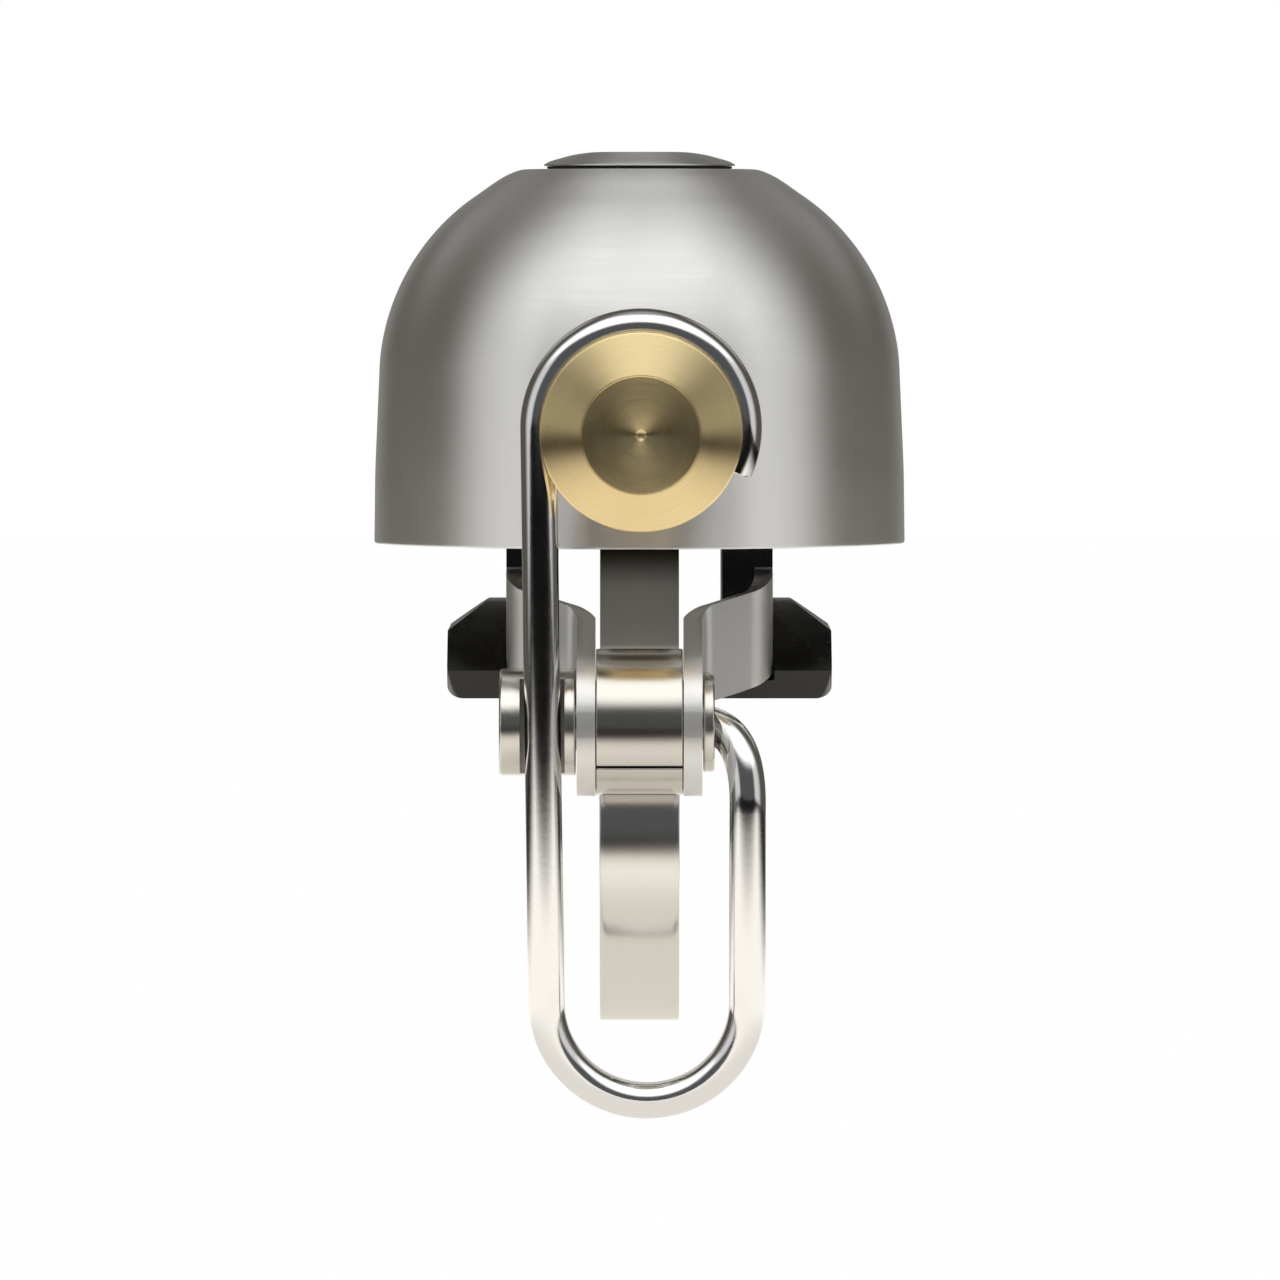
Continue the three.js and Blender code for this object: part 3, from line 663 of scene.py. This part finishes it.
def saddle(name):
    """The right-hand pad: a curved wing with a sloping outer corner, and a cheek with a lip at each end."""
    outside = arc((0, 0), PAD_TOP, 44.2, 135.8, 48)
    inside = arc((0, 0), BAR_RADIUS, 138.6, 41.4, 48)
    wing = prism(name, outside + inside, PAD_INNER, PAD_OUTER, "yzx")
    corners = [(-CHEEK_END, 9), (CHEEK_END, 9), (CHEEK_END, 21.3, 0.8), (-CHEEK_END, 21.3, 0.8)]
    cheek = prism("cheek", rounded(corners, closed=True), PAD_INNER, 7.4, "yzx")
    combine(cheek, [rod("under", 13.7, 4, 9, "x", segments=96)], "DIFFERENCE")
    joined = [cheek]
    for low, high in ((-CHEEK_END, -8.25), (8.25, CHEEK_END)):
        joined.append(block("lip", (PAD_INNER, low, 16.95), (8.7, high, 20.9)))
    combine(wing, joined, "UNION")
    floor = [(y + 0.15, z - 0.15) for y, z in ARM_UNDER[1:]]
    notch = [(-8.1, 13), (-8.1, 11.45), *floor, (-15, 7), (-15, 13)]
    combine(wing, [prism("notch", notch, 4.4, 8.8, "yzx")], "DIFFERENCE")
    slope = [(9.9, PAD_TOP), (13.5, PAD_TOP - 3.6 * 0.733), (13.5, 16), (9.9, 16)]
    rivet_hole = rod("hole", 0.9, 4, 9, "x", (0, 0, 20), 32)
    combine(wing, [prism("slope", slope, -15, 15, "xzy"), rivet_hole], "DIFFERENCE")
    for side in (1, -1):
        toe = rounded([(0, -0.01), (PAD_OUTER, -0.01, 1.1), (PAD_OUTER, 40), (0, 40)], closed=True)
        plan = prism("plan", toe, -30, 30)
        plan.data.transform(Matrix.Rotation(math.radians(48.6), 4, "X"))
        if side < 0:
            plan.data.transform(Matrix.Scale(-1, 4, (0, 1, 0)))
            plan.data.flip_normals()
        combine(wing, [plan], "INTERSECT")
    return soften(wing, 0.2, 3, 35)


def mirrored(obj):
    """Mirrors a mesh from side to side."""
    obj.data.transform(Matrix.Scale(-1, 4, (1, 0, 0)))
    obj.data.flip_normals()
    return obj


rivet_corners = [(0, 4.85), (1.15, 4.85, 0.2), (1.4, 5.1, 0.1), (1.4, 5.35, 0.05), (0.85, 5.35)]
rivet_corners += [(0.85, 8.75), (1.4, 8.75, 0.05), (1.4, 8.95, 0.1), (1.1, 9.25, 0.25), (0, 9.25)]
for side, flip in (("right", False), ("left", True)):
    pad = saddle("saddle_pad_" + side)
    rivet = lathe("pad_rivet_head_" + side, rounded(rivet_corners), Matrix.Translation((0, 0, 0.02)), 48)
    rivet.data.transform(Matrix.Rotation(math.pi / 2, 4, "Y"))
    if flip:
        mirrored(pad)
        mirrored(rivet)
    place(shade(pad, 30), NYLON, "black_nylon", "frame", "saddle_" + side)
    place(shade(rivet), TURNED_STEEL, "polished_steel", "frame", "pad_rivet_" + side)

# ---- Clamp: the strap, the rolled barrel, the trunnion, the tension screw and its nut ----


def strap_path():
    """The strap's middle line from the barrel, under the bar, to the eye: (y, z, half width, half slot)."""
    ring_radius = BAR_RADIUS + STRAP / 2 + 0.025
    barrel_radius = 4.73 + 0.05 + STRAP / 2
    eye_radius = 2.5 + 0.05 + STRAP / 2

    def crossing(centre, radius):
        return math.degrees(math.acos((ring_radius + radius) / math.hypot(centre.y, centre.z)))

    front = math.degrees(math.atan2(PIVOT.z, PIVOT.y)) + crossing(PIVOT, barrel_radius)
    rear = math.degrees(math.atan2(TRUNNION.z, TRUNNION.y)) - crossing(TRUNNION, eye_radius) + 360
    onto_barrel = arc((PIVOT.y, PIVOT.z), barrel_radius, 52, front - 180, 16)
    under_bar = arc((0, 0), ring_radius, front, rear, 96)
    round_eye = arc((TRUNNION.y, TRUNNION.z), eye_radius, rear - 180, rear - 480, 72)
    gap = Vector(round_eye[0]) - Vector(under_bar[-1])
    between = [tuple(Vector(under_bar[-1]) + gap * k / 6) for k in range(1, 6)]
    path = [(y, z, 2.6, 0.0) for y, z in onto_barrel + under_bar]
    for y, z in between + round_eye:
        wide = 4.0 if z > 2.0 or y > 15 else 2.6
        below = z < TRUNNION.z and abs(y - TRUNNION.y) < 2.6
        above = z > TRUNNION.z and abs(y - TRUNNION.y) < 1.7
        path.append((y, z, wide, 2.45 if below else 1.6 if above else 0.0))
    return path


def strap_grids():
    """Three strips side by side. The middle one is left open where the screw passes."""
    path = strap_path()
    left, middle, right = [], [], []
    for y, z, half, slot in path:
        edge = slot or 1.6
        left.append([(-half + (half - edge) * k / 2, y, z) for k in range(3)])
        right.append([(edge + (half - edge) * k / 2, y, z) for k in range(3)])
        middle.append([(-edge + edge * k / 2, y, z) if not slot or k in (0, 4) else None for k in range(5)])
    return [left, middle, right]


strap = thicken(sheet_of("clamp_strap", strap_grids()), STRAP)
soften(strap, 0.07, 2, 50)
place(shade(strap, 45), STRAP_STEEL, "strap_steel", "clamp", "clamp_band")

SPLIT = -36.5
HALF_GAP = 1.15
roll = arc((PIVOT.y, PIVOT.z), 4.425, 180 - SPLIT + HALF_GAP, 180 - SPLIT - HALF_GAP + 360, 120)
barrel = sheet_of("clamp_barrel_tube", [[[(x, y, z) for x in (-2.8, -1.4, 0, 1.4, 2.8)] for y, z in roll]])
thicken(barrel, 0.61)
soften(barrel, 0.1, 3, 50)
place(shade(barrel, 45), SHADED_BARREL_STEEL, "strap_steel", "clamp", "clamp_barrel")

along_x = Matrix.Rotation(math.pi / 2, 4, "Y")
pin = lathe("trunnion_pin", rounded([(0, -4), (2.5, -4, 0.3), (2.5, 4, 0.3), (0, 4)]), ORIGIN, 72)
pin.data.transform(along_x)
pin.matrix_world = Matrix.Translation(TRUNNION * MM)
cuts = [
    rod("screw_way", 1.4, -4, 4, "z", TRUNNION, 40),
    block("spot_face", (-2.5, TRUNNION.y - 3, TRUNNION.z - 4), (2.5, TRUNNION.y + 3, TRUNNION.z - 2.3)),
]
combine(pin, cuts, "DIFFERENCE")
soften(pin, 0.06, 2, 50)
place(shade(pin), FITTING_BRASS, "fitting_brass", "trunnion", "trunnion")


def threads(radius, depth, start, end, pitch):
    """A thread's profile from one height up to another."""
    count = int((end - start) / pitch)
    corners = []
    for k in range(count):
        z = start + k * pitch
        corners += [(radius - depth, z + pitch * 0.1), (radius, z + pitch * 0.42), (radius, z + pitch * 0.58)]
        corners += [(radius - depth, z + pitch * 0.9)]
    return corners


screw_low = TRUNNION.z - 2.3 - 0.05
socket_head = [(0, screw_low - 2.5), (2.05, screw_low - 2.5, 0.1), (2.25, screw_low - 2.3, 0.1)]
screw_corners = rounded([*socket_head, (2.25, screw_low, 0.1)])
screw_corners += [(1.25, screw_low), (1.25, 4.0), *threads(1.25, 0.2, 4.0, 12.9, 0.45)]
screw_corners += [(0.85, 13.3), (0, 13.3)]
screw = lathe("tension_screw_body", screw_corners, ORIGIN, 48)
screw.data.transform(Matrix.Translation((0, 0, -TRUNNION.z * MM)))
screw.matrix_world = Matrix.Translation(TRUNNION * MM)
socket = prism("socket", arc((0, TRUNNION.y), 1.15, 30, 330, 5), screw_low - 3, screw_low - 1.2)
combine(screw, [socket], "DIFFERENCE")
place(shade(screw), WIRE_STEEL, "spring_steel", "tension_screw", "tension_screw")


def nut():
    """A hexagon with its corners turned off at both ends."""
    base = 10.65
    top = base + 2
    corner = 2.5 / math.cos(math.radians(30))
    wide = corner + 0.05
    hexagon = arc((0, TRUNNION.y), corner, 30, 330, 5)
    body = prism("anchor_nut_body", hexagon, base - 1, base + 3)
    turned = [(0, base), (2.45, base), (wide, base + 0.3), (wide, base + 1.7), (2.45, top), (0, top)]
    combine(body, [lathe("turn", turned, Matrix.Translation((0, TRUNNION.y * MM, 0)), 64)], "INTERSECT")
    combine(body, [rod("bore", 1.5, base - 1, base + 3, "z", (0, TRUNNION.y, 0), 40)], "DIFFERENCE")
    return body


place(shade(nut()), TURNED_STEEL, "polished_steel", "frame", "anchor_nut")

# ---- Pivot: bushes ----

bush_corners = [(1.96, 2.25), (4.04, 2.25, 0.1), (4.04, 2.8, 0.05), (2.7, 2.8)]
bush_corners += [(2.7, 4.05, 0.08), (1.96, 4.05, 0.08)]
at_pivot = Matrix.Translation(PIVOT * MM)
for side, flip in (("right", False), ("left", True)):
    bush = lathe("pivot_bush_" + side, rounded(bush_corners, closed=True), ORIGIN, 64, closed=True)
    bush.data.transform(along_x)
    if flip:
        mirrored(bush)
    else:
        combine(bush, [block("leg_slot", (1.25, -1.1, 0), (2.8, 1.1, 5))], "DIFFERENCE")
    bush.matrix_world = at_pivot
    place(shade(bush), BRONZE, "bush_bronze", "frame", "bush_" + side)

# ---- Striker: axle, collar, spring, wire and hammer, in a frame that leans forward ----

striker = at_pivot @ Matrix.Rotation(LEAN, 4, "X")
WIRE_DEPTH = 2.77
WIRE_RADIUS = 1.175
HOOK = (0.1, 19.69)  # the middle of the hook and of the hammer
HOOK_RADIUS = 6.585
FLANGE = 6.51
GROOVE = 1.25

axle_corners = [(0, -9.06), (3.46, -9.06, 0.22), (3.46, -4.13, 0.12), (1.88, -4.13), (1.88, 4.6, 0.05)]
axle_corners += [(1.74, 4.6), (1.35, 4.0), (1.35, -0.7), (0, -0.7)]
axle = lathe("striker_axle_body", rounded(axle_corners), ORIGIN, 96)
axle.data.transform(along_x)
floor = WIRE_DEPTH - WIRE_RADIUS - 0.05
cuts = [
    block("wire_slot", (-7.73, -5, -5), (-4.83, -floor, 5)),
    rod("spring_hole", 0.5, -3, -0.6, "z", (-1.75, 0, 0), 24),
]
combine(axle, cuts, "DIFFERENCE")
soften(axle, 0.07, 2, 50)
axle.matrix_world = striker
place(shade(axle), TURNED_STEEL, "polished_steel", "striker", "striker_axle")

collar_corners = [(1.93, 4.13, 0.05), (3.24, 4.13, 0.12), (3.24, 4.85, 0.18), (2.33, 4.85, 0.04)]
collar_corners += [(1.93, 4.45, 0.1)]
collar = lathe("axle_collar_ring", rounded(collar_corners, closed=True), ORIGIN, 96, closed=True)
collar.data.transform(along_x)
collar.matrix_world = striker
place(shade(collar), TURNED_STEEL, "polished_steel", "striker", "axle_collar")


def spring_path():
    """The coil's points: one end turns in to the axle, and the other runs on along the axle."""
    start, end, turns, per_turn, radius = -1.75, 1.4, 4.5, 40, 2.45
    count = int(turns * per_turn)
    coil = []
    for i in range(3, count):
        a = 2 * math.pi * i / per_turn - math.pi / 2
        coil.append((start + (end - start) * i / count, radius * math.cos(a), radius * math.sin(a)))
    leg_y, leg_z = radius * math.cos(math.radians(75)), radius * math.sin(math.radians(75))
    lead = [(start, -0.1, -1), (start, -0.06, -1.7), (start, 0.3, -2.27)]
    leg = [coil[-1], (end + 0.5, leg_y * 0.9, leg_z * 1.02), (end + 0.9, leg_y, leg_z), (2.7, leg_y, leg_z)]
    joint = through([lead[-1], coil[0]], 4)[1:-1]
    return through(lead, 6)[:-1] + joint + coil + through(leg, 6)[1:]


coil_spring = sweep("return_coil_spring", spring_path(), 0.3, 16, 0.03, striker)
place(shade(coil_spring), WIRE_STEEL, "spring_steel", "striker", "return_spring")


def wire_path():
    """From inside the axle, out and down into the finger loop, up past the axle, and over the hammer."""
    right, drop, radius = 6.98, -17.92, 6.5
    a, b = Vector((3.6, 0, 0)), Vector((6.0, -0.2, -0.15))
    c, d = Vector((right + 0.1, -WIRE_DEPTH, -1.3)), Vector((right, -WIRE_DEPTH, -5.4))
    points = [Vector((x, 0, 0)) for x in (-0.4, 1, 2.5)]
    for k in range(29):
        t = k / 28
        points.append(a * (1 - t) ** 3 + b * 3 * t * (1 - t) ** 2 + c * 3 * t * t * (1 - t) + d * t**3)
    flat = [(right, -5.4 + (drop + 5.4) * k / 10) for k in range(1, 10)]
    flat += arc((right - radius, drop), radius, 0, -180, 48)
    top = arc(HOOK, HOOK_RADIUS, 180, -24, 64)
    (x0, z0), (x1, z1) = flat[-1], top[0]
    flat += [(x0 + (x1 - x0) * k / 24, z0 + (z1 - z0) * k / 24) for k in range(1, 24)]
    return points + [Vector((x, -WIRE_DEPTH, z)) for x, z in flat + top]


wire = sweep("striker_wire_form", wire_path(), WIRE_RADIUS, 32, 0.1, striker)
place(shade(wire), WIRE_STEEL, "spring_steel", "striker", "striker_wire")


def hammer_profile():
    """Heights are in front of the groove that the wire lies in."""
    mouth = math.degrees(math.asin((HOOK_RADIUS - FLANGE) / GROOVE))
    groove = arc((HOOK_RADIUS, 0), GROOVE, -90 - mouth, -270 + mouth, 20)
    boss = [(0, -3.0), (2.3, -2.97), (4.3, -2.85, 0.5), (4.85, -2.5, 0.2)]
    back = rounded([*boss, (6.1, -2.28, 0.3), (FLANGE, -1.9, 0.25), (FLANGE, -1.3)])
    disc = [(3.84, 3.1), (3.8, 3.2, 0.03), (0.42, 3.2), (0.3, 3.14), (0, 3.0)]
    front = rounded([(FLANGE, 1.3), (FLANGE, 1.92, 0.2), (3.9, 3.1), *disc])
    return back[:-1] + groove + front[1:]


front_axis = Matrix.Rotation(math.pi / 2, 4, "X")
hammer = lathe("hammer_head", hammer_profile(), ORIGIN, 160)
hook_centre = Vector((HOOK[0], -WIRE_DEPTH, HOOK[1]))
hammer.matrix_world = striker @ Matrix.Translation(hook_centre * MM) @ front_axis
place(shade(hammer), HAMMER_BRASS, "hammer_brass", "striker", "hammer")

# ---- Floor, backdrop, light and camera ----


FLOOR_Z = -18.8


def staging(obj, level):
    """Plain white, seen by the camera alone: the world lights the object."""
    white, _, shader, _ = surface(obj.name + "_white")
    shader.inputs["Base Color"].default_value = (0, 0, 0, 1)
    shader.inputs["Specular IOR Level"].default_value = 0
    shader.inputs["Emission Color"].default_value = (level, level, level, 1)
    shader.inputs["Emission Strength"].default_value = 1.0
    obj.data.materials.append(white)
    obj.visible_glossy = False
    obj.visible_diffuse = False
    obj.visible_shadow = False


def floor_card():
    """A glowing card for the lit floor close to the object, which only reflections show: warm, darker close
    to the object with a painted shadow of the bell, and fading outwards.
    """
    corners = [[(x, y, FLOOR_Z) for x in (-160, 160)] for y in (-180, 150)]
    card = sheet_of("floor_card", [corners])
    material, graph, shader, where = surface("floor_card_light")
    x, y, _ = graph.split(where)
    middle = graph.ramp(graph.math("ABSOLUTE", x), 60, 125, 1.0, 0.0)
    near = graph.math("MULTIPLY", middle, graph.ramp(y, -88, -52))
    away = graph.node("ShaderNodeVectorMath", {0: where, 1: (0, 5, -FLOOR_Z)}, operation="ADD").outputs[0]
    distance = graph.node("ShaderNodeVectorMath", {0: away}, operation="LENGTH").outputs["Value"]
    # painted shadow: the card is darker and duller within about 16 to 40 mm of the object, where the bell
    # shades the floor
    shadowed_floor_tone = graph.mix(graph.ramp(distance, 16, 40), colour(0.86, 0.82, 0.75), colour(1.14, 1.09, 1.01))
    shader.inputs["Base Color"].default_value = (0, 0, 0, 1)
    shader.inputs["Specular IOR Level"].default_value = 0
    graph.set(shader.inputs["Emission Color"], shadowed_floor_tone)
    graph.set(shader.inputs["Emission Strength"], near)
    card.data.materials.append(material)
    card.visible_camera = False
    card.visible_diffuse = False
    card.visible_shadow = False


staging(block("floor", (-1500, -1500, FLOOR_Z - 10), (1500, 1500, FLOOR_Z - 0.5)), 0.995)
floor_card()
backdrop = lathe("backdrop", [(0, -1900), *arc((0, 0), 1900, -89, 89, 24), (0, 1900)], ORIGIN, 48)
backdrop.data.flip_normals()
staging(backdrop, 1.0)

world = bpy.data.worlds.new("studio")
bpy.context.scene.world = world
world.use_nodes = True
sky = Graph(world.node_tree)
x, y, z = sky.split(sky.node("ShaderNodeTexCoord").outputs["Generated"])
DEGREES = 180 / math.pi
turn = sky.math("ARCTAN2", x, sky.math("MULTIPLY", y, -1.0))
azimuth = sky.math("MULTIPLY", sky.math("ABSOLUTE", turn), DEGREES)
height = sky.math("MULTIPLY", sky.math("ARCSINE", z), DEGREES)


def panel(azimuths, heights, strength):
    """A soft-edged patch of light. Each edge is (where it starts, where it is full)."""
    made = strength
    for value, edges in ((azimuth, azimuths), (height, heights)):
        for first, last in edges:
            low, high, at_low, at_high = (first, last, 0.0, 1.0) if first < last else (last, first, 1.0, 0.0)
            made = sky.math("MULTIPLY", sky.ramp(value, low, high, at_low, at_high), made)
    return made


light = panel([(95, 50)], [(20, 36), (86, 66)], 1.35)
for extra in (
    panel([(40, 54), (98, 70)], [(-30, -14), (50, 26)], 0.62),
    panel([(80, 30)], [(30, 44), (76, 60)], 0.42),
    panel([(122, 132), (160, 150)], [(16, 26), (54, 44)], 0.3),
    panel([], [(60, 88)], 0.3),
    panel([(140, 172)], [(40, 10)], 0.2),
):
    light = sky.math("ADD", light, extra)
dark = sky.mix(sky.ramp(azimuth, 45, 80), colour(0.085, 0.09, 0.095), colour(0.10, 0.09, 0.075))
room = sky.mix(light, dark, colour(1.06, 1.06, 1.04))
edge = sky.math("SUBTRACT", height, sky.ramp(azimuth, 50, 110, 0.0, -22.0))
room = sky.mix(sky.ramp(edge, -26, -13, 1.0, 0.0), room, colour(0.84, 0.77, 0.68))
background = sky.node("ShaderNodeBackground", {"Color": room, "Strength": 1.0})
sky.tree.links.new(background.outputs[0], sky.node("ShaderNodeOutputWorld").inputs[0])
for made in sky.tree.nodes:
    if made.type == "MIX":
        made.clamp_factor = False

lamp = bpy.data.lights.new("soft_top", "AREA")
lamp.shape = "DISK"
lamp.size = 0.5
lamp.energy = 3.0
lamp_obj = bpy.data.objects.new("soft_top", lamp)
bpy.context.scene.collection.objects.link(lamp_obj)
lamp_obj.location = (-0.1, -0.25, 0.6)
lamp_obj.rotation_euler = (Vector((0, 0, 0)) - lamp_obj.location).to_track_quat("-Z", "Y").to_euler()
lamp_obj.visible_glossy = False

CAMERA_DISTANCE = 0.8
CAMERA_HEIGHT = 0.0391
camera_data = bpy.data.cameras.new("camera")
camera = bpy.data.objects.new("camera", camera_data)
bpy.context.scene.collection.objects.link(camera)
camera_data.angle = math.radians(6.046)
camera.location = (0.000033, -CAMERA_DISTANCE, CAMERA_HEIGHT)
camera.rotation_euler = (math.radians(90 - 1.948), 0, 0)
camera_data.clip_start = 0.05
camera_data.clip_end = 10
bpy.context.scene.camera = camera
bpy.context.scene.view_settings.view_transform = "Standard"
